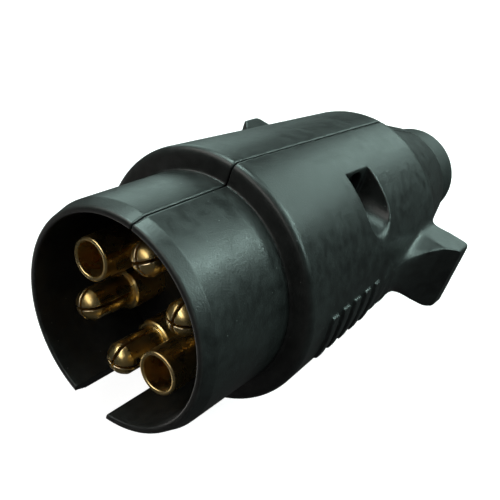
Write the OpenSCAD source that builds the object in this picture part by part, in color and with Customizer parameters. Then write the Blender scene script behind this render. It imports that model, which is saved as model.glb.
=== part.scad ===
// Six-contact trailer lighting plug with a two-half shell.
// The plug axis is Y: the contacts face -Y and the cable leaves towards +Y.
// The origin is on that axis at the seating shoulder, +Z is up and the seam lies in x = 0.

/* [Mating shroud] */
// Outside diameter of the shroud that enters the socket
shroud_d = 43.5; // [42:0.1:46]
// Wall thickness of the shroud
shroud_wall = 2.1; // [1.8:0.1:2.4]
// Length of the shroud from the seating shoulder to its rim
shroud_len = 23.5; // [22:0.5:26]
// Length of the lead-in taper behind the rim
rim_taper_len = 2.9; // [1.5:0.1:4]
// How much smaller the radius is at the rim than behind the taper
rim_taper = 0.9; // [0.4:0.1:1.1]
// Rounding of the outer edge of the rim
rim_round = 0.5; // [0.3:0.1:0.8]
// Width of the keyway in the bottom of the shroud
keyway_w = 8.5; // [6:0.1:9]
// Length of the keyway from the rim
keyway_len = 19; // [15:0.5:20]

/* [Hand grip body] */
// Radius of the grip at its front end
grip_front_r = 26.2; // [25:0.1:27]
// Radius of the grip where its rear shoulder starts
grip_rear_r = 23.7; // [23:0.1:24.5]
// Distance from the seating shoulder to the start of the rear shoulder
grip_len = 56.3; // [54:0.1:58]
// Rounding of the front edge of the grip
grip_edge = 1.6; // [0.8:0.1:2]
// Rounding of the rear shoulder
rear_round = 7; // [6:0.5:8]
// Radius of the hollow between the rear shoulder and the neck
rear_hollow = 18.4; // [14:0.1:20]
// Wall thickness of the grip
grip_wall = 2.7; // [2.2:0.1:3]
// Radius of the neck at its rear rim
neck_rear_r = 15.3; // [14.5:0.1:16]
// Distance from the seating shoulder to the rear rim of the neck
neck_end = 84; // [82:0.5:86]
// Gap between the two half shells at the seam
seam_gap = 0.1; // [0.1:0.05:0.3]

/* [Finger wings] */
// Distance from the plug axis to the wing tip
wing_reach = 32.4; // [30:0.1:34]
// Height of the wing's top face above the plug axis
wing_top = 8.6; // [7.5:0.1:9.5]
// Depth of the wing's bottom face below the plug axis
wing_bottom = 8; // [7:0.1:9]
// Distance from the seating shoulder to the back face of the wings
wing_back = 57.6; // [56:0.1:58]
// Thickness of the wing at its tip
wing_tip_t = 5.6; // [4.5:0.1:6.5]
// Radius of the concave front face that the fingers pull on
wing_scoop_r = 22.8; // [21:0.1:26]
// Radius of the fillet between wing and grip
wing_fillet = 1.5; // [0.5:0.1:2]

/* [Grip ribs] */
// Number of plain ribs on the right side of the grip
rib_count = 7; // [3:1:8]
// Height of each rib above the grip
rib_h = 0.7; // [0.4:0.1:1]
// Width of each rib along the plug
rib_w = 2.4; // [1.6:0.1:3]

/* [Contacts] */
// Radius of the circle that the contacts stand on
contact_ring_r = 11.65; // [11.3:0.05:11.9]
// Diameter of the split pins
pin_d = 6.4; // [5.4:0.1:6.6]
// Width of the slots that split a pin
pin_slot = 0.55; // [0.4:0.05:0.8]
// Diameter of the contact bodies and of the tube contacts
barrel_d = 8.4; // [8:0.1:8.6]
// Bore of the tube contacts
tube_bore = 6.7; // [6.3:0.1:7]
// Distance of the pin tips behind the shroud rim
pin_setback = 3.5; // [2:0.1:5]
// Distance of the tube ends behind the shroud rim
tube_setback = 3.3; // [2:0.1:5]
// Length of a pin in front of its thicker body
pin_len = 10.7; // [9:0.1:12]

/* [Cable outlet] */
// Outside diameter of the rubber grommet behind the neck
grommet_d = 25.2; // [23:0.1:26]
// Length of the grommet behind the neck
grommet_len = 13; // [10:0.1:14]
// Bore of the grommet
cable_bore = 10.2; // [8:0.1:11]

/* [Fasteners] */
// Diameter of the self-tapping screws that join the half shells
shell_screw_d = 3.8; // [3.5:0.1:4]
// Diameter of the cable clamp screws
clamp_screw_d = 3; // [2.9:0.1:3.5]
// Diameter of the wire terminal screws
terminal_screw_d = 3; // [2.5:0.1:3.2]

/* [Hidden] */
$fn = 96;
eps = 0.01;
fit_gap = 0.05;
far = 80;

shroud_r = shroud_d / 2;
shroud_in_r = shroud_r - shroud_wall;
pin_r = pin_d / 2;
barrel_r = barrel_d / 2;
half_gap = seam_gap / 2;

// Seen from the side, the wings fan out from an apex and are full height from wing_full on
wing_apex_y = 29;
wing_apex_z = 2.6;
wing_full = wing_back - 6.6;

// Rim of the shroud: centre radius of the rounding that meets the lead-in taper
taper_angle = atan2(rim_taper, rim_taper_len);
rim_round_c = shroud_r - rim_taper + rim_round * (tan(taper_angle) - 1 / cos(taper_angle));

// Rear shoulder: a rounding, then a hollow that runs out into the taper of the neck
rear_angle = 34;
neck_angle = 15;
hollow_c = [grip_rear_r - rear_round, grip_len]
           + (rear_round + rear_hollow) * [cos(rear_angle), sin(rear_angle)];
neck_front_r = hollow_c[0] - rear_hollow * cos(neck_angle);
neck_start = hollow_c[1] - rear_hollow * sin(neck_angle);
neck_round = 0.8;
neck_floor = 72;

// Contact carrier and the seat that holds it
carrier_face = -1.5;
seat_start = 0.8;
seat_r = 21.5;
seat_end = 7.1;
stop_r = 19.4;
stop_end = 9.2;
carrier_back = 6.9;
carrier_gap = 0.15;

// Contact details behind the carrier
flange_r = 5.1;
flange_t = 1.5;
terminal_r = 3.9;
terminal_end = 20;
wire_hole_r = 2.2;
wire_hole_start = 11;
terminal_y = 15.5;
plate_t = 3;
plate_r = 18.9;
plate_screw_r = 2;
plate_head_r = 3.6;
plate_head_t = 2.4;
plate_screw_len = 6;

// Shell screws: one above and one below the axis, driven from the right
screw_y = 30.6;
screw_z = 17.8;
pocket_floor = 10.2;
pocket_half = 4.85;
boss_wall = 2;
shell_head_r = 3.7;
shell_head_t = 2.5;
shell_head_seat = 6.2;
shell_screw_len = 15;
shell_screw_r = shell_screw_d / 2;
peg_r = 1.2;
peg_len = 3;
peg_offset = 4.4;

// Cable clamp across the two posts of the left shell
clamp_y = 50;
clamp_half = 4;
clamp_z = 13.5;
clamp_post_r = 3.7;
clamp_post_top = 3;
clamp_strap_t = 3;
clamp_strap_half = 17.2;
clamp_arch_r = 8.4;
clamp_screw_r = clamp_screw_d / 2;
clamp_head_r = 2.9;
clamp_head_t = 2.1;
clamp_screw_len = 14;
cable_r = cable_bore / 2;
cradle_half = 7;

// Grommet held between the half shells
grommet_r = grommet_d / 2;
grommet_waist_r = 9;
grommet_flange_r = 11.2;
grommet_flange_start = 76;
grommet_flange_end = 79.8;
grommet_round = 1.4;

// Grip ribs
rib_start = 8.4;
rib_end = 38.4;
rib_top = 4.8;
rib_bottom = -5.6;

pin_angles = [90, 30, -90, -150];
pin_slot_turns = [37, 10, 3, 26];
tube_angles = [150, -30];

// Points of an arc about c, from angle a0 to angle a1.
function arc(c, r, a0, a1, steps = 10) =
    [for (i = [0 : steps]) let (a = a0 + (a1 - a0) * i / steps) c + r * [cos(a), sin(a)]];

// Radius of the tapered grip at distance y behind the shoulder.
function grip_r(y) = grip_front_r + (grip_rear_r - grip_front_r) * y / grip_len;

// Turns a profile of [radius, y] points about the plug axis.
module turned(points) {
    rotate([-90, 0, 0])
        rotate_extrude()
            polygon(points);
}

// Cylinder along the plug axis from y0 to y1.
module rod_y(r, y0, y1) {
    translate([0, y0, 0])
        rotate([-90, 0, 0])
            cylinder(r = r, h = y1 - y0);
}

// Cylinder along X from x0 to x1.
module rod_x(r, x0, x1) {
    translate([x0, 0, 0])
        rotate([0, 90, 0])
            cylinder(r = r, h = x1 - x0);
}

// Box between two corners.
module block(low, high) {
    translate(low)
        cube(high - low);
}

// Places its children at one contact position, with +X pointing away from the plug axis.
module at_contact(angle) {
    rotate([0, -angle, 0])
        translate([contact_ring_r, 0, 0])
            children();
}

// Places its children at the upper (1) or lower (-1) shell screw axis.
module at_shell_screw(side) {
    mirror([0, 0, side < 0 ? 1 : 0])
        translate([0, screw_y, screw_z])
            children();
}

// Places its children at the upper (1) or lower (-1) clamp screw axis.
module at_clamp_screw(side) {
    translate([0, clamp_y, side * clamp_z])
        children();
}

// Outside of the shroud, grip, rear shoulder and neck as one solid.
module outer_solid() {
    turned(concat(
        [[0, -shroud_len]],
        arc([rim_round_c, -shroud_len + rim_round], rim_round, -90, -taper_angle),
        [[shroud_r, -shroud_len + rim_taper_len], [shroud_r, 0]],
        arc([grip_front_r - grip_edge, grip_edge], grip_edge, -90, 0),
        arc([grip_rear_r - rear_round, grip_len], rear_round, 0, rear_angle, 14),
        arc(hollow_c, rear_hollow, 180 + rear_angle, 180 + neck_angle, 10),
        arc([neck_rear_r - neck_round, neck_end - neck_round], neck_round, 0, 90, 6),
        [[0, neck_end]]));
}

// Everything hollow inside the closed shell.
module inner_space() {
    chamber_r = grip_r(stop_end) - grip_wall;
    chamber_end_r = grip_rear_r - grip_wall;
    turned([
        [0, -shroud_len - 1], [shroud_in_r, -shroud_len - 1],
        [shroud_in_r, seat_start], [seat_r, seat_start],
        [seat_r, seat_end], [stop_r, seat_end],
        [stop_r, stop_end], [chamber_r, stop_end],
        [chamber_end_r, grip_len], [neck_front_r - grip_wall, neck_start],
        [neck_rear_r + 0.5, neck_floor], [grommet_waist_r + fit_gap, neck_floor],
        [grommet_waist_r + fit_gap, grommet_flange_start],
        [grommet_flange_r + fit_gap, grommet_flange_start],
        [grommet_flange_r + fit_gap, grommet_flange_end],
        [grommet_waist_r + fit_gap, grommet_flange_end],
        [grommet_waist_r + fit_gap, neck_end + 1], [0, neck_end + 1]]);
}

// Section of the wings, seen along the plug: the fillets meet the grip at its rear radius.
module wing_section() {
    tip_round = 0.8;
    bottom_round = 0.9;
    top_c = [sqrt(pow(grip_rear_r + wing_fillet, 2) - pow(wing_top + wing_fillet, 2)),
             wing_top + wing_fillet];
    low_c = [sqrt(pow(grip_rear_r + wing_fillet, 2) - pow(wing_bottom + wing_fillet, 2)),
             -wing_bottom - wing_fillet];
    polygon(concat(
        [[0, 0]],
        arc(low_c, wing_fillet, 180 - atan2(-low_c[1], low_c[0]), 90),
        arc([wing_reach - bottom_round, -wing_bottom + bottom_round], bottom_round, -90, 0),
        arc([wing_reach - tip_round, wing_top - tip_round], tip_round, 0, 90, 6),
        arc(top_c, wing_fillet, 270, 180 + atan2(top_c[1], top_c[0]))));
}

// Outline of the wings, seen from the side.
module wing_fan() {
    polygon([[wing_apex_y, wing_apex_z],
             [wing_full, -wing_bottom - 0.4], [wing_full, -far], [far, -far],
             [far, far], [wing_full, far], [wing_full, wing_top + 0.5]]);
}

// Outline of the right wing, seen from above.
module wing_outline() {
    tip_round = 1.5;
    scoop_y = wing_back - wing_tip_t - sqrt(pow(wing_scoop_r, 2)
              - pow(wing_scoop_r - (wing_reach - grip_r(34)), 2));
    difference() {
        polygon(concat(
            [[0, wing_back + 0.5], [0, scoop_y], [wing_reach, scoop_y]],
            arc([wing_reach - tip_round, wing_back - 0.5 - tip_round], tip_round, 0, 84, 6)));
        translate([grip_r(34) + wing_scoop_r, scoop_y])
            circle(r = wing_scoop_r, $fn = 180);
    }
}

// Right wing; its inner part is buried in the grip.
module wing() {
    intersection() {
        translate([0, 0, -far / 2])
            linear_extrude(far)
                wing_outline();
        translate([0, far, 0])
            rotate([90, 0, 0])
                linear_extrude(far)
                    wing_section();
        rotate([90, 0, 90])
            linear_extrude(far)
                wing_fan();
    }
}

// Plain raised ribs on the right side of the grip.
module grip_ribs() {
    pitch = (rib_end - rib_start - rib_w) / (rib_count - 1);
    intersection() {
        turned([[grip_r(rib_start) - 1, rib_start], [grip_r(rib_start) + rib_h, rib_start],
                [grip_r(rib_end) + rib_h, rib_end], [grip_r(rib_end) - 1, rib_end]]);
        for (i = [0 : rib_count - 1])
            block([0, rib_start + i * pitch, rib_bottom],
                  [far, rib_start + i * pitch + rib_w, rib_top]);
    }
}

// U-shaped bar along X that is open towards the outside of the grip.
module u_bar(half, x0, x1) {
    rod_x(half, x0, x1);
    block([x0, -half, 0], [x1, half, far / 4]);
}

// Space above and below the axis that is cut for each shell screw from the right.
module screw_pocket() {
    u_bar(pocket_half, pocket_floor, far / 2);
    rod_x(shell_head_r + 0.4, shell_head_seat, pocket_floor + eps);
    rod_x(shell_screw_r + 0.3, -eps, shell_head_seat + eps);
    translate([0, peg_offset, 0])
        rod_x(peg_r + 0.1, -eps, peg_len + 0.5);
}

// Half of the hollow shell on the +X side, with its wing.
module half_shell() {
    intersection() {
        difference() {
            union() {
                outer_solid();
                wing();
            }
            inner_space();
        }
        block([half_gap, -far, -far], [far, 2 * far, far]);
    }
}

// Screw bosses that join the shell wall on the +X side.
module screw_bosses() {
    intersection() {
        outer_solid();
        for (side = [1, -1])
            at_shell_screw(side)
                u_bar(pocket_half + boss_wall, half_gap, far / 2);
    }
}

// Keyway through the bottom of the shroud.
module keyway() {
    block([-keyway_w / 2, -shroud_len - 1, -far / 2],
          [keyway_w / 2, -shroud_len + keyway_len, -shroud_in_r + 4]);
}

module right_shell() {
    color("#2c302e")
    difference() {
        union() {
            half_shell();
            screw_bosses();
            grip_ribs();
        }
        keyway();
        for (side = [1, -1])
            at_shell_screw(side)
                screw_pocket();
    }
}

// Posts and cradle of the cable clamp, on the -X side.
module clamp_base() {
    intersection() {
        outer_solid();
        union() {
            for (side = [1, -1])
                at_clamp_screw(side)
                    rod_x(clamp_post_r, -far / 2, clamp_post_top);
            difference() {
                block([-far / 2, clamp_y - clamp_half, -cradle_half],
                      [-half_gap, clamp_y + clamp_half, cradle_half]);
                rod_y(cable_r + 0.2, 0, far);
            }
        }
    }
}

module left_shell() {
    color("#2a2e2c")
    difference() {
        union() {
            mirror([1, 0, 0]) {
                half_shell();
                screw_bosses();
            }
            clamp_base();
            for (side = [1, -1])
                at_shell_screw(side)
                    translate([0, peg_offset, 0])
                        rod_x(peg_r, -half_gap - eps, peg_len);
        }
        keyway();
        for (side = [1, -1]) {
            at_shell_screw(side)
                rod_x(shell_screw_r + fit_gap, shell_head_seat - shell_screw_len - 1, 0);
            at_clamp_screw(side)
                rod_x(clamp_screw_r + fit_gap, clamp_post_top + clamp_strap_t - clamp_screw_len - 1,
                      clamp_post_top + eps);
        }
    }
}

// Insulating disc that holds all the contacts.
module contact_carrier() {
    color("#1b1c1c")
    difference() {
        turned([[0, carrier_face], [shroud_in_r - carrier_gap - 0.5, carrier_face],
                [shroud_in_r - carrier_gap, carrier_face + 0.5],
                [shroud_in_r - carrier_gap, seat_start + carrier_gap],
                [seat_r - carrier_gap, seat_start + carrier_gap],
                [seat_r - carrier_gap, carrier_back], [0, carrier_back]]);
        for (angle = concat(pin_angles, tube_angles))
            at_contact(angle)
                rod_y(barrel_r + fit_gap, carrier_face - 1, carrier_back + 1);
        rod_y(plate_screw_r + fit_gap, carrier_back - plate_screw_len, carrier_back + 1);
    }
}

// Plate that traps the contact flanges against the carrier.
module contact_retainer() {
    color("#34302b")
    difference() {
        rod_y(plate_r, carrier_back + fit_gap, carrier_back + plate_t);
        for (angle = concat(pin_angles, tube_angles))
            at_contact(angle) {
                rod_y(terminal_r + fit_gap, carrier_back, carrier_back + plate_t + 1);
                rod_y(flange_r + fit_gap, carrier_back, carrier_back + flange_t + 2 * fit_gap);
            }
        rod_y(plate_screw_r + fit_gap, carrier_back, carrier_back + plate_t + 1);
    }
}

module retainer_screw() {
    color("#b9bcc0")
    difference() {
        union() {
            rod_y(plate_screw_r, carrier_back - plate_screw_len + 0.5, carrier_back + plate_t + 0.1);
            rod_y(plate_head_r, carrier_back + plate_t + fit_gap,
                  carrier_back + plate_t + plate_head_t);
        }
        block([-far / 2, carrier_back + plate_t + plate_head_t - 1.1, -0.5],
              [far / 2, far, 0.5]);
    }
}

// Body, flange and wire terminal that every contact shares; its own axis is the local Y axis.
module contact_rear(front) {
    difference() {
        union() {
            rod_y(barrel_r, front, carrier_back + fit_gap);
            rod_y(flange_r, carrier_back + fit_gap, carrier_back + fit_gap + flange_t);
            turned([[0, carrier_back], [terminal_r, carrier_back],
                    [terminal_r, terminal_end - 0.4], [terminal_r - 0.4, terminal_end],
                    [0, terminal_end]]);
        }
        rod_y(wire_hole_r, wire_hole_start, terminal_end + 1);
        translate([0, terminal_y, 0])
            rod_x(terminal_screw_d / 2 + fit_gap, 0, terminal_r + 1);
    }
}

// Split pin with a domed tip and two crossed slots.
module split_pin(angle, slot_turn) {
    tip = -shroud_len + pin_setback;
    shoulder = tip + pin_len;
    dome_r = pin_r + 0.1;
    dome_angle = asin(pin_r / dome_r);
    slot_angle = angle - slot_turn;
    edge = 0.4;
    at_contact(angle)
        color("#b8923f")
        difference() {
            union() {
                rotate([0, slot_angle + 45, 0])
                    turned(concat(
                        arc([0, tip + dome_r], dome_r, -90, -90 + dome_angle, 8),
                        [[pin_r, shoulder + 1], [0, shoulder + 1]]));
                turned([[0, shoulder], [barrel_r - edge, shoulder], [barrel_r, shoulder + edge],
                        [barrel_r, shoulder + 2], [0, shoulder + 2]]);
                contact_rear(shoulder + 1);
            }
            rotate([0, slot_angle, 0])
                for (turn = [0, 90])
                    rotate([0, turn, 0])
                        block([-barrel_r, tip - 1, -pin_slot / 2],
                              [barrel_r, shoulder - 0.3, pin_slot / 2]);
        }
}

// Plain tube contact with a thin rounded lip.
module tube_contact(angle) {
    tip = -shroud_len + tube_setback;
    bore_r = tube_bore / 2;
    lip = (barrel_r - bore_r) / 2;
    bore_end = carrier_face - 1.5;
    at_contact(angle)
        color("#b8923f")
        difference() {
            union() {
                turned(concat(
                    [[0, tip + lip]],
                    arc([barrel_r - lip, tip + lip], lip, 180, 360, 10),
                    [[barrel_r, carrier_face], [0, carrier_face]]));
                contact_rear(carrier_face - 1);
            }
            turned([[0, tip - 1], [bore_r, tip - 1], [bore_r, bore_end], [0, bore_end + bore_r * 0.6]]);
        }
}

// Terminal screw of one contact, with a slotted cheese head.
module terminal_screw(angle) {
    head_r = 2.6;
    head_t = 2;
    slot_w = 0.7;
    at_contact(angle)
        translate([0, terminal_y, 0])
            color("#c8c9c4")
            difference() {
                union() {
                    rod_x(terminal_screw_d / 2, wire_hole_r - 1, terminal_r + 1.1);
                    rod_x(head_r, terminal_r + 1, terminal_r + 1 + head_t);
                }
                block([terminal_r + head_t, -far, -slot_w / 2],
                      [far, far, slot_w / 2]);
            }
}

// Screw along X with a domed head whose underside is at head_seat; the point is towards -X.
module tapping_screw(shank_r, length, head_r, head_t, head_seat) {
    crown = 0.7;
    point = 2;
    arm = 0.5;
    difference() {
        union() {
            rotate([0, 90, 0])
                rotate_extrude()
                    polygon([[0, head_seat], [head_r, head_seat], [head_r, head_seat + head_t - crown],
                             [head_r - crown, head_seat + head_t], [0, head_seat + head_t]]);
            rotate([0, 90, 0])
                rotate_extrude()
                    polygon([[0, head_seat - length], [shank_r, head_seat - length + point],
                             [shank_r, head_seat + eps], [0, head_seat + eps]]);
        }
        for (turn = [0, 90])
            rotate([turn, 0, 0])
                block([head_seat + head_t - 1.3, -head_r * 0.6, -arm],
                      [head_seat + head_t + 1, head_r * 0.6, arm]);
    }
}

module shell_screw(side) {
    at_shell_screw(side)
        color("#c2c5c8")
        tapping_screw(shell_screw_r, shell_screw_len, shell_head_r, shell_head_t,
                      shell_head_seat + fit_gap);
}

module clamp_screw(side) {
    at_clamp_screw(side)
        color("#c2c5c8")
        tapping_screw(clamp_screw_r, clamp_screw_len, clamp_head_r, clamp_head_t,
                      clamp_post_top + clamp_strap_t + 2 * fit_gap);
}

// Arched strap that presses the cable into the cradle of the left shell.
module cable_clamp_strap() {
    top = clamp_post_top + fit_gap + clamp_strap_t;
    color("#26292a")
    difference() {
        union() {
            block([clamp_post_top + fit_gap, clamp_y - clamp_half, -clamp_strap_half],
                  [top, clamp_y + clamp_half, clamp_strap_half]);
            intersection() {
                rod_y(clamp_arch_r, clamp_y - clamp_half, clamp_y + clamp_half);
                block([clamp_post_top + fit_gap, 0, -far], [far, far, far]);
            }
        }
        rod_y(cable_r + 0.2, 0, far);
        for (side = [1, -1])
            at_clamp_screw(side)
                rod_x(clamp_screw_r + 0.2, 0, far);
    }
}

// Rubber grommet: a flange between the shells, a waist through their rims and a sleeve outside.
module cable_grommet() {
    sleeve_end = neck_end + grommet_len;
    color("#232625")
    turned(concat(
        [[cable_r, grommet_flange_start + fit_gap],
         [grommet_flange_r, grommet_flange_start + fit_gap],
         [grommet_flange_r, grommet_flange_end - fit_gap],
         [grommet_waist_r, grommet_flange_end - fit_gap],
         [grommet_waist_r, neck_end + fit_gap],
         [grommet_r, neck_end + fit_gap]],
        arc([grommet_r - grommet_round, sleeve_end - grommet_round], grommet_round, 0, 90, 8),
        [[cable_r + 0.8, sleeve_end], [cable_r, sleeve_end - 0.8]]));
}

left_shell();
right_shell();
contact_carrier();
contact_retainer();
retainer_screw();
split_pin(pin_angles[0], pin_slot_turns[0]);  // top_split_pin
split_pin(pin_angles[1], pin_slot_turns[1]);  // right_split_pin
split_pin(pin_angles[2], pin_slot_turns[2]);  // bottom_split_pin
split_pin(pin_angles[3], pin_slot_turns[3]);  // left_split_pin
tube_contact(tube_angles[0]);  // left_tube_contact
tube_contact(tube_angles[1]);  // right_tube_contact
terminal_screw(pin_angles[0]);  // top_terminal_screw
terminal_screw(pin_angles[1]);  // right_terminal_screw
terminal_screw(pin_angles[2]);  // bottom_terminal_screw
terminal_screw(pin_angles[3]);  // left_terminal_screw
terminal_screw(tube_angles[0]);  // left_tube_terminal_screw
terminal_screw(tube_angles[1]);  // right_tube_terminal_screw
shell_screw(1);  // upper_shell_screw
shell_screw(-1);  // lower_shell_screw
cable_clamp_strap();
clamp_screw(1);  // upper_clamp_screw
clamp_screw(-1);  // lower_clamp_screw
cable_grommet();
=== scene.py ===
"""Six-contact trailer plug: the CAD frame with soft moulded edges, procedural materials and a studio."""

import bpy
import numpy as np
from mathutils import Matrix, Vector


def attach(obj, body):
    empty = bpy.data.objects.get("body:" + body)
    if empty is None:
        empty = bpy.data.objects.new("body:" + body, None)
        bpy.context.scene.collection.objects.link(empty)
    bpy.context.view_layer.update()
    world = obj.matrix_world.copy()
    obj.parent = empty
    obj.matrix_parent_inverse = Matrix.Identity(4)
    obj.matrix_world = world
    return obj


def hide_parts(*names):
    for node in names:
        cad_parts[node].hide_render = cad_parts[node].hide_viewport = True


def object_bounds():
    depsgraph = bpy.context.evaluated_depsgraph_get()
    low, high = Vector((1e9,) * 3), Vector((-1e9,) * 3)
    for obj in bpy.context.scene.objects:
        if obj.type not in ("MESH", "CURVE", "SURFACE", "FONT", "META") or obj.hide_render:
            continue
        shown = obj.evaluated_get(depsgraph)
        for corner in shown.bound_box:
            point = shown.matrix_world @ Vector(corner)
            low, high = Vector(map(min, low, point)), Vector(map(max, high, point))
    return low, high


MM = 0.001

# Camera: to the right of the contacts' axis, above it, and rolled
CAMERA_PLACE = (0.06146, -0.09967, 0.08494)
CAMERA_RIGHT = (0.75428, 0.59639, 0.27456)
CAMERA_UP = (-0.52578, 0.29822, 0.79663)
CAMERA_LENS = 53.125
CAMERA_SENSOR = 36.0

# Studio lights: azimuth from -Y towards +X and elevation in degrees, width and height in metres,
# power in watts, and tint
LIGHT_DISTANCE = 0.6
COOL = (0.72, 1.0, 0.93)
WARM = (1.0, 0.97, 0.92)
LIGHTS = {
    "left softbox": (-90, 62, 0.28, 0.28, 2.6, COOL),
    "right softbox": (90, 62, 0.28, 0.28, 0.4, COOL),
    "rear softbox": (150, 62, 0.28, 0.28, 1.2, COOL),
    "low rear softbox": (-174, 28, 0.28, 0.22, 0.5, COOL),
    "rear edge light": (150, 44, 0.10, 0.10, 0.9, COOL),
    "right edge light": (106, 48, 0.20, 0.20, 1.2, COOL),
    "left edge light": (-126, 16, 0.34, 0.34, 0.55, COOL),
    "front strip": (-34, 40, 1.3, 0.24, 1.9, WARM),
    "table bounce": (-94, -46, 0.7, 0.45, 0.9, WARM),
}
AMBIENT = 0.04

# Paper floor and walls: how far they reach, and their glow, which keeps them pale under dim lights
PAPER_REACH = 3.0
PAPER_GLOW = 0.92

# Remeshed pieces: voxel size, and the passes that soften their edges, each by the same factor
SHELL_VOXEL = 0.25 * MM
SHELL_PASSES = 5
CONTACT_VOXEL = 0.15 * MM
CONTACT_PASSES = 3
GROMMET_VOXEL = 0.40 * MM
GROMMET_PASSES = 2
SMOOTHING = 0.5

# Moulded plastic: the sizes of what varies over it, the depth of its swell, and its pale specks
CLOUD_SIZE = 14 * MM
MOTTLE_SIZE = 2.2 * MM
GRAIN_SIZE = 0.35 * MM
# Size of the patches of painted highlight beside the parting line
SEAM_HIGHLIGHT_SIZE = 2 * MM
SWELL_SIZE = 9 * MM
SWELL_DEPTH = 0.03 * MM
SPECK_SPACING = 2.2 * MM
SPECK_RADIUS = 0.12 * MM

# Tints of the near-black materials, and tones, tints and strengths of what lies on them
PLASTIC_TINT = (0.92, 1.0, 0.97)
RUBBER_TINT = (0.9, 1.0, 0.96)
SPECK_TONE = 0.25
SPECK_TINT = (0.95, 1.0, 0.98)
SPECK_STRENGTH = 0.6
# Edges lightened partly as rubbed wear and partly as a painted highlight
EDGE_WEAR_AND_HIGHLIGHT_TONE = 0.13
EDGE_WEAR_AND_HIGHLIGHT_TINT = (0.93, 1.0, 0.97)
EDGE_WEAR_AND_HIGHLIGHT_STRENGTH = 0.4
# Near-black painted shade in the parting line's groove
SEAM_SHADE_TONE = 0.001

# Curvatures per millimetre at which wear on an edge, and on the plastic also a painted edge highlight,
# begins and is complete
PLASTIC_EDGE = (1.2, 3.0)
BRASS_EDGE = (2.0, 5.0)

# The shell's turned surfaces, as in the CAD apart from the rim's inner rounding
SHROUD_R = 21.75 * MM
SHROUD_IN_R = 19.65 * MM
SHROUD_RIM = -23.5 * MM
RIM_TAPER_LEN = 2.9 * MM
RIM_TAPER = 0.9 * MM
RIM_ROUND = 0.5 * MM
RIM_INNER_ROUND = 0.3 * MM
RIM_TAPER_ANGLE = np.arctan2(RIM_TAPER, RIM_TAPER_LEN)
RIM_ROUND_C = SHROUD_R - RIM_TAPER + RIM_ROUND * (np.tan(RIM_TAPER_ANGLE) - 1 / np.cos(RIM_TAPER_ANGLE))
GRIP_FRONT_R = 26.2 * MM
GRIP_REAR_R = 23.7 * MM
GRIP_EDGE = 1.6 * MM
GRIP_LEN = 56.3 * MM
REAR_ROUND = 7.0 * MM
REAR_ANGLE = np.radians(34.0)
REAR_HOLLOW = 18.4 * MM
NECK_ANGLE = np.radians(15.0)
NECK_REAR_R = 15.3 * MM
NECK_ROUND = 0.8 * MM
NECK_END = 84.0 * MM
CARRIER_FACE = -1.5 * MM

# The contacts, as in the CAD
CONTACT_RING_R = 11.65 * MM
CONTACT_ANGLES = {
    "top_split_pin": 90,
    "right_split_pin": 30,
    "bottom_split_pin": -90,
    "left_split_pin": -150,
    "left_tube_contact": 150,
    "right_tube_contact": -30,
}
PIN_R = 3.2 * MM
BARREL_R = 4.2 * MM
TUBE_R = 3.35 * MM

# Name of the mesh attribute that holds a remeshed piece's convex curvature
CURVATURE = "convex curvature"

# How far a vertex may be off a turned surface and still be put back on it, and how many times that
# far it may be and still be moved part of the way
SNAP = 0.04 * MM
SNAP_FADE = 3

# The vertices of the rim: a corner's, as shares of its radius, and the flat's, as a distance
CORNER_FROM = 0.6
CORNER_TO = 1.5
FLAT_OFF = 2 * SNAP

# Points on each rounding of a profile
ARC_STEPS = 24

# The parting line: half-width of its painted shade, depth of its open groove, and how near the halves
# already are there
SEAM_SHADE_HALF_WIDTH = 0.16 * MM
SEAM_DEPTH = 0.8 * MM
SEAM_NEAR = 0.12 * MM

# The wings' place on the grip
WING_FRONT = 31.0 * MM
WING_BACK = 55.5 * MM
WING_HALF = 12.5 * MM

# The smoothing of the wings' roots: the width over which it fades, how high above the grip and how deep
# below it the root reaches, and how finely its weight is stepped
WING_BLEND = 2.6 * MM
WING_ROOT = 0.7 * WING_BLEND
WING_SKIN = 1.0 * MM
WING_BLEND_PASSES = 220
WEIGHT_STEPS = 10


# ---------------------------------------------------------------- node helpers

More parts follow.
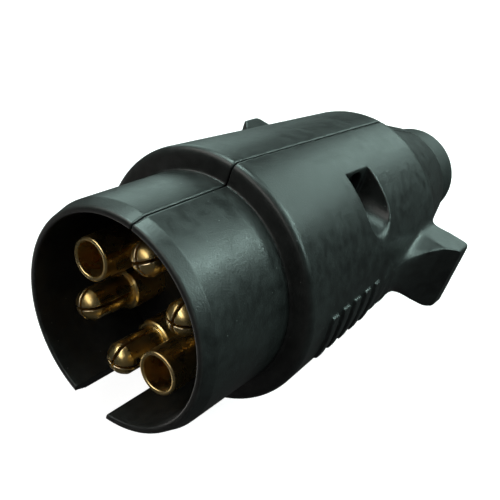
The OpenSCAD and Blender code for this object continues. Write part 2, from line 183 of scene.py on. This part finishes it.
class Shader:
    """Small helper that builds one material's node tree."""

    def __init__(self, name, metallic=0.0, roughness=0.5, specular=0.5):
        self.material = bpy.data.materials.new(name)
        self.material.use_nodes = True
        self.nodes = self.material.node_tree.nodes
        self.links = self.material.node_tree.links
        self.bsdf = self.nodes["Principled BSDF"]
        self.bsdf.inputs["Roughness"].default_value = roughness
        self.bsdf.inputs["Metallic"].default_value = metallic
        self.bsdf.inputs["Specular IOR Level"].default_value = specular
        self.coords = self.nodes.new("ShaderNodeTexCoord").outputs["Object"]

    def add(self, kind, inputs, **settings):
        """A new node with these settings, whose inputs are linked to sockets or set to plain values."""
        node = self.nodes.new(kind)
        for key, value in settings.items():
            setattr(node, key, value)
        for key, value in inputs.items():
            if isinstance(value, bpy.types.NodeSocket):
                self.links.new(value, node.inputs[key])
            else:
                node.inputs[key].default_value = value
        return node

    def scaled(self, size, stretch):
        """The piece's own coordinates in units of `size` metres."""
        scale = tuple(share / size for share in stretch)
        return self.add("ShaderNodeMapping", {"Vector": self.coords, "Scale": scale}).outputs["Vector"]

    def noise(self, size, detail=2.0, roughness=0.5, stretch=(1, 1, 1)):
        """Noise whose features are about `size` metres across."""
        return self.add("ShaderNodeTexNoise", {"Vector": self.scaled(size, stretch), "Scale": 1.0,
                                               "Detail": detail, "Roughness": roughness}).outputs["Fac"]

    def specks(self, spacing, radius):
        """1 in sparse, irregularly placed round spots that fade over their outer half, 0 elsewhere."""
        spots = self.add("ShaderNodeTexVoronoi", {"Vector": self.scaled(spacing, (1, 1, 1)), "Scale": 1.0})
        return self.remap(spots.outputs["Distance"], 0.5 * radius / spacing, radius / spacing, 1.0, 0.0)

    def remap(self, value, low, high, to_low=0.0, to_high=1.0):
        """Moves low..high to to_low..to_high, and clamps what lies outside."""
        return self.add("ShaderNodeMapRange", {"Value": value, "From Min": low, "From Max": high,
                                               "To Min": to_low, "To Max": to_high}).outputs["Result"]

    def spread(self, noise, low=0.0, high=1.0):
        """Stretches a noise, which lies mostly between 0.3 and 0.7, over low..high."""
        return self.remap(noise, 0.3, 0.7, low, high)

    def math(self, operation, a, b):
        """The result of one arithmetic operation."""
        return self.add("ShaderNodeMath", {0: a, 1: b}, operation=operation).outputs["Value"]

    def blend(self, factor, a, b):
        """Colour a where factor is 0 and b where it is 1."""
        # This node's colour inputs are 6 and 7, and its colour output is 2
        return self.add("ShaderNodeMix", {0: factor, 6: a, 7: b}, data_type="RGBA").outputs[2]

    def across(self):
        """The x coordinate, which is the distance from the shell's parting plane."""
        return self.add("ShaderNodeSeparateXYZ", {"Vector": self.coords}).outputs["X"]

    def edges(self, low, high):
        """1 on a remeshed piece's sharp convex edges, 0 elsewhere; low and high are curvatures."""
        curvature = self.add("ShaderNodeAttribute", {}, attribute_name=CURVATURE)
        return self.remap(curvature.outputs["Fac"], low, high)

    def cad_edges(self):
        """The same for a CAD node, from the renderer's own measure, which is 0.5 on a flat."""
        geometry = self.add("ShaderNodeNewGeometry", {})
        return self.remap(geometry.outputs["Pointiness"], 0.56, 0.66)

    def bump(self, height, depth, under=None):
        """Surface normals for a height of up to `depth` metres, on top of the bump `under`."""
        inputs = {"Height": height, "Distance": depth, "Strength": 1.0}
        if under:
            inputs["Normal"] = under
        return self.add("ShaderNodeBump", inputs).outputs["Normal"]

    def use(self, **sockets):
        """Links these to the shader's inputs and returns the finished material."""
        for key, value in sockets.items():
            self.links.new(value, self.bsdf.inputs[key.replace("_", " ")])
        return self.material


def grey(value, tint=(1.0, 1.0, 1.0)):
    """A grey as a shader colour, multiplied by a tint."""
    return (value * tint[0], value * tint[1], value * tint[2], 1.0)


# ------------------------------------------------------------------- materials

def parting_line(s, seam):
    """Three masks: what is clear of the parting line, patches of painted highlight beside it, and the
    painted shade in its groove.
    """
    off_seam = s.math("ABSOLUTE", s.across(), 0.0)
    clear = s.remap(off_seam, 2 * seam, 4 * seam)
    # Painted highlight: lighter patches just beside the parting line
    seam_highlight = s.math("MULTIPLY", s.remap(off_seam, 1.5 * seam, 2.5 * seam, 0.3, 0.0),
                   s.remap(s.noise(SEAM_HIGHLIGHT_SIZE), 0.5, 0.65))
    # Painted shade: near black in the groove of the parting line
    seam_shade = s.remap(off_seam, seam, 1.4 * seam, 1.0, 0.0)
    return clear, seam_highlight, seam_shade


def moulded_plastic(name, dark, light, roughness, grain_depth, tint=(1.0, 1.0, 1.0), seam=None):
    """Satin black moulding: a fine spark-eroded grain, faint clouding, pale specks, and edges lightened
    partly as rubbed wear and partly as a painted highlight.
    Where a seam half-width is given, painted shade fills the parting line's groove and patches of painted
    highlight follow it."""
    s = Shader(name)
    mottling = s.noise(MOTTLE_SIZE, detail=3.0, roughness=0.6)
    clouding = s.math("ADD", s.noise(CLOUD_SIZE, detail=3.0), mottling)
    colour = s.blend(s.remap(clouding, 0.75, 1.3), grey(dark, tint), grey(light, tint))
    specks = s.math("MULTIPLY", s.specks(SPECK_SPACING, SPECK_RADIUS), SPECK_STRENGTH)
    colour = s.blend(specks, colour, grey(SPECK_TONE, SPECK_TINT))
    # Convex edges lightened partly as rubbed wear and partly as a painted highlight
    worn_and_highlit = s.math("MULTIPLY", s.edges(*PLASTIC_EDGE), EDGE_WEAR_AND_HIGHLIGHT_STRENGTH)
    rough = s.spread(mottling, roughness - 0.05, roughness + 0.07)
    seam_shade = 0.0
    if seam:
        clear, seam_highlight, seam_shade = parting_line(s, seam)
        # Near the seam the edge colour gives way to the patches of painted highlight
        worn_and_highlit = s.math("MAXIMUM", s.math("MULTIPLY", worn_and_highlit, clear), seam_highlight)
        rough = s.math("MAXIMUM", rough, seam_shade)
    colour = s.blend(worn_and_highlit, colour, grey(EDGE_WEAR_AND_HIGHLIGHT_TONE, EDGE_WEAR_AND_HIGHLIGHT_TINT))
    # Painted shade darkens the parting line's groove
    colour = s.blend(seam_shade, colour, grey(SEAM_SHADE_TONE))
    grain = s.noise(GRAIN_SIZE, detail=3.0, roughness=0.6)
    swell = s.noise(SWELL_SIZE, detail=1.0)
    normal = s.bump(swell, SWELL_DEPTH, under=s.bump(grain, grain_depth))
    return s.use(Base_Color=colour, Roughness=rough, Normal=normal)


def turned_brass(name):
    """Bright turned brass with turning marks, brown tarnish away from the edges and fine pits."""
    bright = (0.96, 0.76, 0.34, 1.0)
    tarnished = (0.80, 0.56, 0.21, 1.0)
    rubbed = (1.0, 0.88, 0.66, 1.0)
    s = Shader(name, metallic=1.0)
    clouds = s.noise(3.0 * MM)
    colour = s.blend(s.remap(clouds, 0.35, 0.7), bright, tarnished)
    colour = s.blend(s.edges(*BRASS_EDGE), colour, rubbed)
    rings = s.noise(0.35 * MM, stretch=(0.05, 1.0, 0.05))
    pits = s.noise(0.4 * MM)
    normal = s.bump(rings, 0.008 * MM, under=s.bump(pits, 0.004 * MM))
    return s.use(Base_Color=colour, Roughness=s.spread(clouds, 0.20, 0.38), Normal=normal)


def plated_steel(name, tone):
    """Zinc-plated or blackened screw steel with a mottled plating and worn edges."""
    s = Shader(name, metallic=1.0)
    clouds = s.noise(1.5 * MM, detail=4.0)
    colour = s.blend(s.spread(clouds), grey(tone * 0.8, (1.0, 0.99, 0.96)), grey(tone))
    colour = s.blend(s.cad_edges(), colour, grey(min(tone * 1.4, 0.9)))
    normal = s.bump(s.noise(0.2 * MM, detail=3.0), 0.01 * MM)
    return s.use(Base_Color=colour, Roughness=s.spread(clouds, 0.32, 0.5), Normal=normal)


def laminate(name):
    """Brown laminated insulating board with a woven surface."""
    brown = (0.10, 0.075, 0.05, 1.0)
    light_brown = (0.16, 0.12, 0.085, 1.0)
    s = Shader(name)
    weave = s.noise(0.6 * MM, stretch=(1.0, 1.0, 0.15))
    cross = s.noise(0.6 * MM, stretch=(0.15, 1.0, 1.0))
    tone = s.remap(s.math("ADD", weave, cross), 0.8, 1.2)
    colour = s.blend(tone, brown, light_brown)
    rough = s.remap(tone, 0.0, 1.0, 0.5, 0.62)
    return s.use(Base_Color=colour, Roughness=rough, Normal=s.bump(tone, 0.02 * MM))


def paper_floor(name):
    """Pale paper sweep with a barely visible tooth."""
    s = Shader(name, roughness=0.9, specular=0.1)
    s.bsdf.inputs["Emission Color"].default_value = grey(1.0)
    s.bsdf.inputs["Emission Strength"].default_value = PAPER_GLOW
    tone = s.spread(s.noise(40 * MM, detail=3.0))
    colour = s.blend(tone, grey(0.40), grey(0.44))
    return s.use(Base_Color=colour, Normal=s.bump(s.noise(1.0 * MM), 0.01 * MM))


# ---------------------------------------------------------------------- pieces

def evaluated_copy(source, name, modifiers):
    """A new object with the source's mesh after these modifiers."""
    work = bpy.data.objects.new(name, source.data.copy())
    bpy.context.scene.collection.objects.link(work)
    for kind, settings in modifiers:
        modifier = work.modifiers.new(kind.title(), kind)
        for key, value in settings.items():
            setattr(modifier, key, value)
    graph = bpy.context.evaluated_depsgraph_get()
    mesh = bpy.data.meshes.new_from_object(work.evaluated_get(graph))
    work.modifiers.clear()
    work.data = mesh
    return work


def softened(node, voxel, passes, material):
    """Replaces a CAD node by a finely remeshed copy with slightly rounded edges."""
    piece = evaluated_copy(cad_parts[node], node + "_skin", (
        ("REMESH", {"mode": "VOXEL", "voxel_size": voxel, "use_smooth_shade": True}),
        ("SMOOTH", {"factor": SMOOTHING, "iterations": passes}),
    ))
    piece.data.materials.clear()
    piece.data.materials.append(material)
    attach(piece, "root")
    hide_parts(node)
    return piece


def vertex_rows(piece, key):
    """One row of three numbers for each vertex: its place ("co") or its normal ("normal")."""
    flat = np.empty(len(piece.data.vertices) * 3)
    piece.data.vertices.foreach_get(key, flat)
    return flat.reshape(-1, 3)


def set_points(piece, points):
    """Moves the piece's vertices to these places."""
    piece.data.vertices.foreach_set("co", points.ravel())
    piece.data.update()


def arc(centre_r, centre_y, radius, start, end):
    """(y, r) points of an arc in a profile, with angles measured from the outward direction."""
    turn = np.linspace(start, end, ARC_STEPS)
    return np.column_stack((centre_y + radius * np.sin(turn), centre_r + radius * np.cos(turn)))


def shroud_profile():
    """(y, r) points of the shroud's outside, from the rim to just before the shoulder."""
    return np.vstack((
        arc(RIM_ROUND_C, SHROUD_RIM + RIM_ROUND, RIM_ROUND, -np.pi / 2, -RIM_TAPER_ANGLE),
        [[SHROUD_RIM + RIM_TAPER_LEN, SHROUD_R], [-SNAP, SHROUD_R]]))


def grip_profile():
    """(y, r) points of the grip, the rear shoulder and the neck."""
    reach = REAR_ROUND + REAR_HOLLOW
    hollow_r = GRIP_REAR_R - REAR_ROUND + reach * np.cos(REAR_ANGLE)
    hollow_y = GRIP_LEN + reach * np.sin(REAR_ANGLE)
    return np.vstack((
        arc(GRIP_FRONT_R - GRIP_EDGE, GRIP_EDGE, GRIP_EDGE, -np.pi / 2, 0.0),
        arc(GRIP_REAR_R - REAR_ROUND, GRIP_LEN, REAR_ROUND, 0.0, REAR_ANGLE),
        arc(hollow_r, hollow_y, -REAR_HOLLOW, REAR_ANGLE, NECK_ANGLE),
        arc(NECK_REAR_R - NECK_ROUND, NECK_END - NECK_ROUND, NECK_ROUND, 0.0, np.pi / 2)))


def grip_radius(y):
    """Radius of the grip, the rear shoulder or the neck at distance y behind the shoulder."""
    profile = grip_profile()
    return np.interp(y, profile[:, 0], profile[:, 1])


def snap_turned(points, profile, centre=(0.0, 0.0)):
    """Puts the vertices that lie on a turned surface exactly on it, so that no facet of the CAD mesh shows.
    Those a little further away than SNAP are moved part of the way, which leaves no step."""
    x, z = points[:, 0] - centre[0], points[:, 2] - centre[1]
    radius = np.hypot(x, z)
    # Past the profile's ends the target is the axis, which is too far away to snap to
    target = np.interp(points[:, 1], profile[:, 0], profile[:, 1], left=0.0, right=0.0)
    off = radius - target
    kept = np.clip((np.abs(off) / SNAP - 1) / (SNAP_FADE - 1), 0.0, 1.0)
    scale = (target + off * kept) / radius
    points[:, 0] = centre[0] + x * scale
    points[:, 2] = centre[1] + z * scale


def round_rim(points):
    """Makes the shroud's rim a true flat between two rounded corners."""
    radius = np.hypot(points[:, 0], points[:, 2])
    inner = SHROUD_IN_R + RIM_INNER_ROUND
    for centre_r, corner, side in ((inner, RIM_INNER_ROUND, -1), (RIM_ROUND_C, RIM_ROUND, 1)):
        r, y = side * (radius - centre_r), points[:, 1] - SHROUD_RIM - corner
        reach = np.hypot(r, y)
        on_it = (r > 0) & (y < 0) & (reach > CORNER_FROM * corner) & (reach < CORNER_TO * corner)
        shrink = corner / reach[on_it]
        points[on_it, 1] = SHROUD_RIM + corner + y[on_it] * shrink
        scale = (centre_r + side * r[on_it] * shrink) / radius[on_it]
        points[on_it, 0] *= scale
        points[on_it, 2] *= scale
    on_flat = (radius >= inner) & (radius <= RIM_ROUND_C) & (np.abs(points[:, 1] - SHROUD_RIM) < FLAT_OFF)
    points[on_flat, 1] = SHROUD_RIM


def close_seam(points):
    """Lets the halves meet below the groove of the parting line, so that no light comes through."""
    x, y, z = points.T
    outside = np.where(y < SEAM_DEPTH, SHROUD_R, grip_radius(y))
    deep = np.hypot(x, z) < outside - SEAM_DEPTH
    between = (y > SHROUD_RIM + SEAM_DEPTH) & (y < NECK_END - SEAM_DEPTH)
    points[deep & between & (np.abs(x) < SEAM_NEAR), 0] = 0.0


def make_shell_round(shell):
    """Makes a half shell's turned surfaces and rim exact, and closes its seam."""
    points = vertex_rows(shell, "co")
    bore = np.array([[SHROUD_RIM, SHROUD_IN_R], [CARRIER_FACE, SHROUD_IN_R]])
    for profile in (shroud_profile(), grip_profile(), bore):
        snap_turned(points, profile)
    round_rim(points)
    close_seam(points)
    set_points(shell, points)


def make_contact_round(contact, angle):
    """Makes the cylinders of a contact exact."""
    points = vertex_rows(contact, "co")
    turn = np.radians(angle)
    centre = (CONTACT_RING_R * np.cos(turn), CONTACT_RING_R * np.sin(turn))
    low, high = points[:, 1].min(), points[:, 1].max()
    for radius in (PIN_R, BARREL_R, TUBE_R):
        snap_turned(points, np.array([[low, radius], [high, radius]]), centre)
    set_points(contact, points)


def near(beyond):
    """1 up to a border, fading to 0 at WING_BLEND beyond it."""
    return 1 - np.clip(beyond / WING_BLEND, 0.0, 1.0)


def wing_root_weight(points):
    """1 where a wing meets the grip, fading to 0 further along either of them."""
    x, y, z = points.T
    proud = np.hypot(x, z) - grip_radius(y)
    beside = near(np.abs(z) - WING_HALF) * near(WING_FRONT - y) * near(y - WING_BACK)
    weight = beside * near(proud - WING_ROOT)
    weight[proud < -WING_SKIN] = 0.0
    return weight


def blend_wing_root(shell):
    """Rounds the corner between the wing and the grip, and lets the wing's ridge die away into the grip."""
    weight = wing_root_weight(vertex_rows(shell, "co"))
    group = shell.vertex_groups.new(name="wing root")
    for step in np.linspace(1 / WEIGHT_STEPS, 1.0, WEIGHT_STEPS):
        chosen = np.nonzero(np.abs(weight - step) <= 0.5 / WEIGHT_STEPS)[0]
        group.add(chosen.tolist(), float(step), "REPLACE")
    smooth = shell.modifiers.new("Wing root", "SMOOTH")
    smooth.factor = SMOOTHING
    smooth.iterations = WING_BLEND_PASSES
    smooth.vertex_group = group.name


def mean_of_neighbours(values, ends):
    """For each vertex, the mean of a per-vertex array over the vertices it shares an edge with."""
    total = np.zeros_like(values)
    count = np.zeros(len(values))
    for here, there in (ends.T, ends.T[::-1]):
        np.add.at(total, here, values[there])
        np.add.at(count, here, 1.0)
    return total / np.maximum(count, 1.0).reshape((-1,) + (1,) * (values.ndim - 1))


def mark_curvature(piece):
    """Stores each vertex's convex curvature per millimetre, which the materials use to place worn edges
    and, on the plastic, painted edge highlights.
    """
    mesh = piece.data
    points, normals = vertex_rows(piece, "co"), vertex_rows(piece, "normal")
    ends = np.empty(len(mesh.edges) * 2, dtype=np.int64)
    mesh.edges.foreach_get("vertices", ends)
    ends = ends.reshape(-1, 2)
    height = np.einsum("ij,ij->i", points - mean_of_neighbours(points, ends), normals)
    edge_length = np.linalg.norm(points[ends[:, 0]] - points[ends[:, 1]], axis=1).mean()
    # On a grid of squares, that height is a quarter of the curvature times the edge length squared
    curvature = mean_of_neighbours(4 * height / edge_length ** 2 * MM, ends)
    mesh.attributes.new(CURVATURE, "FLOAT", "POINT").data.foreach_set("value", curvature)


def dress(nodes, material):
    """Gives CAD nodes that keep their shape a finished material."""
    for node in nodes:
        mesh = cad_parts[node].data
        mesh.materials.clear()
        mesh.materials.append(material)


# ----------------------------------------------------------------------- stage

def add_camera():
    """The camera that matches the photo."""
    data = bpy.data.cameras.new("camera")
    data.lens = CAMERA_LENS
    data.sensor_width = CAMERA_SENSOR
    data.clip_start = MM
    camera = bpy.data.objects.new("camera", data)
    right, up = Vector(CAMERA_RIGHT), Vector(CAMERA_UP)
    axes = Matrix((right, up, right.cross(up))).transposed()
    camera.matrix_world = Matrix.Translation(CAMERA_PLACE) @ axes.to_4x4()
    bpy.context.scene.collection.objects.link(camera)
    bpy.context.scene.camera = camera


def add_floor(height, material):
    """A square paper floor with paper walls around it, so that no horizon shows."""
    square = ((-1, -1), (1, -1), (1, 1), (-1, 1))
    corners = [(x * PAPER_REACH, y * PAPER_REACH, height + rise)
               for rise in (0, PAPER_REACH) for x, y in square]
    walls = [(i, (i + 1) % 4, (i + 1) % 4 + 4, i + 4) for i in range(4)]
    mesh = bpy.data.meshes.new("floor")
    mesh.from_pydata(corners, [], [(0, 1, 2, 3)] + walls)
    mesh.materials.append(material)
    floor = bpy.data.objects.new("floor", mesh)
    floor.visible_diffuse = False
    floor.visible_glossy = False
    floor.visible_shadow = False
    bpy.context.scene.collection.objects.link(floor)


def add_softbox(name, target, azimuth, elevation, width, height, power, tint):
    """An elliptical area light that faces the target from LIGHT_DISTANCE away."""
    data = bpy.data.lights.new(name, "AREA")
    data.shape = "ELLIPSE"
    data.size = width
    data.size_y = height
    data.energy = power
    data.color = tint
    light = bpy.data.objects.new(name, data)
    turn, rise = np.radians(azimuth), np.radians(elevation)
    away = Vector((np.sin(turn) * np.cos(rise), -np.cos(turn) * np.cos(rise), np.sin(rise)))
    light.location = target + LIGHT_DISTANCE * away
    light.rotation_euler = (-away).to_track_quat("-Z", "Y").to_euler()
    bpy.context.scene.collection.objects.link(light)


def add_world(strength):
    """Faint white light from all around."""
    world = bpy.data.worlds.new("studio")
    world.use_nodes = True
    background = world.node_tree.nodes["Background"]
    background.inputs["Color"].default_value = (1.0, 1.0, 1.0, 1.0)
    background.inputs["Strength"].default_value = strength
    bpy.context.scene.world = world


# ------------------------------------------------------------------------ scene

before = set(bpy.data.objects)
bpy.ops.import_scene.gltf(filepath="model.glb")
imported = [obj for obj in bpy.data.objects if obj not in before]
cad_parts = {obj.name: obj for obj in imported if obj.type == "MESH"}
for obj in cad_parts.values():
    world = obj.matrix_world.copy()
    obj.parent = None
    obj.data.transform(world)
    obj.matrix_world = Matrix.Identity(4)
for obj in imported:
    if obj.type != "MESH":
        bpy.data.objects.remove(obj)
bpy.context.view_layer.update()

add_camera()

plastic = moulded_plastic("moulded shell plastic", 0.010, 0.025, roughness=0.37, grain_depth=0.035 * MM,
                          tint=PLASTIC_TINT, seam=SEAM_SHADE_HALF_WIDTH)
insulator = moulded_plastic("carrier plastic", 0.004, 0.008, roughness=0.55, grain_depth=0.015 * MM)
strap_plastic = moulded_plastic("strap plastic", 0.012, 0.022, roughness=0.45, grain_depth=0.02 * MM)
rubber = moulded_plastic("grommet rubber", 0.012, 0.022, roughness=0.55, grain_depth=0.03 * MM,
                         tint=RUBBER_TINT)
brass = turned_brass("turned brass")
steel = plated_steel("zinc-plated steel", tone=0.6)
black_steel = plated_steel("blackened steel", tone=0.06)
board = laminate("insulating board")

for side in ("left", "right"):
    shell = softened(side + "_shell", SHELL_VOXEL, SHELL_PASSES, plastic)
    make_shell_round(shell)
    mark_curvature(shell)
    blend_wing_root(shell)
mark_curvature(softened("cable_grommet", GROMMET_VOXEL, GROMMET_PASSES, rubber))
for name, angle in CONTACT_ANGLES.items():
    contact = softened(name, CONTACT_VOXEL, CONTACT_PASSES, brass)
    make_contact_round(contact, angle)
    mark_curvature(contact)

dress(["contact_carrier"], insulator)
dress(["contact_retainer"], board)
dress(["cable_clamp_strap"], strap_plastic)
dress([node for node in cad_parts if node.endswith("_screw")], steel)
dress(["upper_shell_screw", "lower_shell_screw"], black_steel)

low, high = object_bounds()
centre = (Vector(low) + Vector(high)) / 2
add_floor(low[2], paper_floor("paper floor"))
add_world(AMBIENT)
for name, light in LIGHTS.items():
    add_softbox(name, centre, *light)
bpy.context.scene.view_settings.view_transform = "Standard"
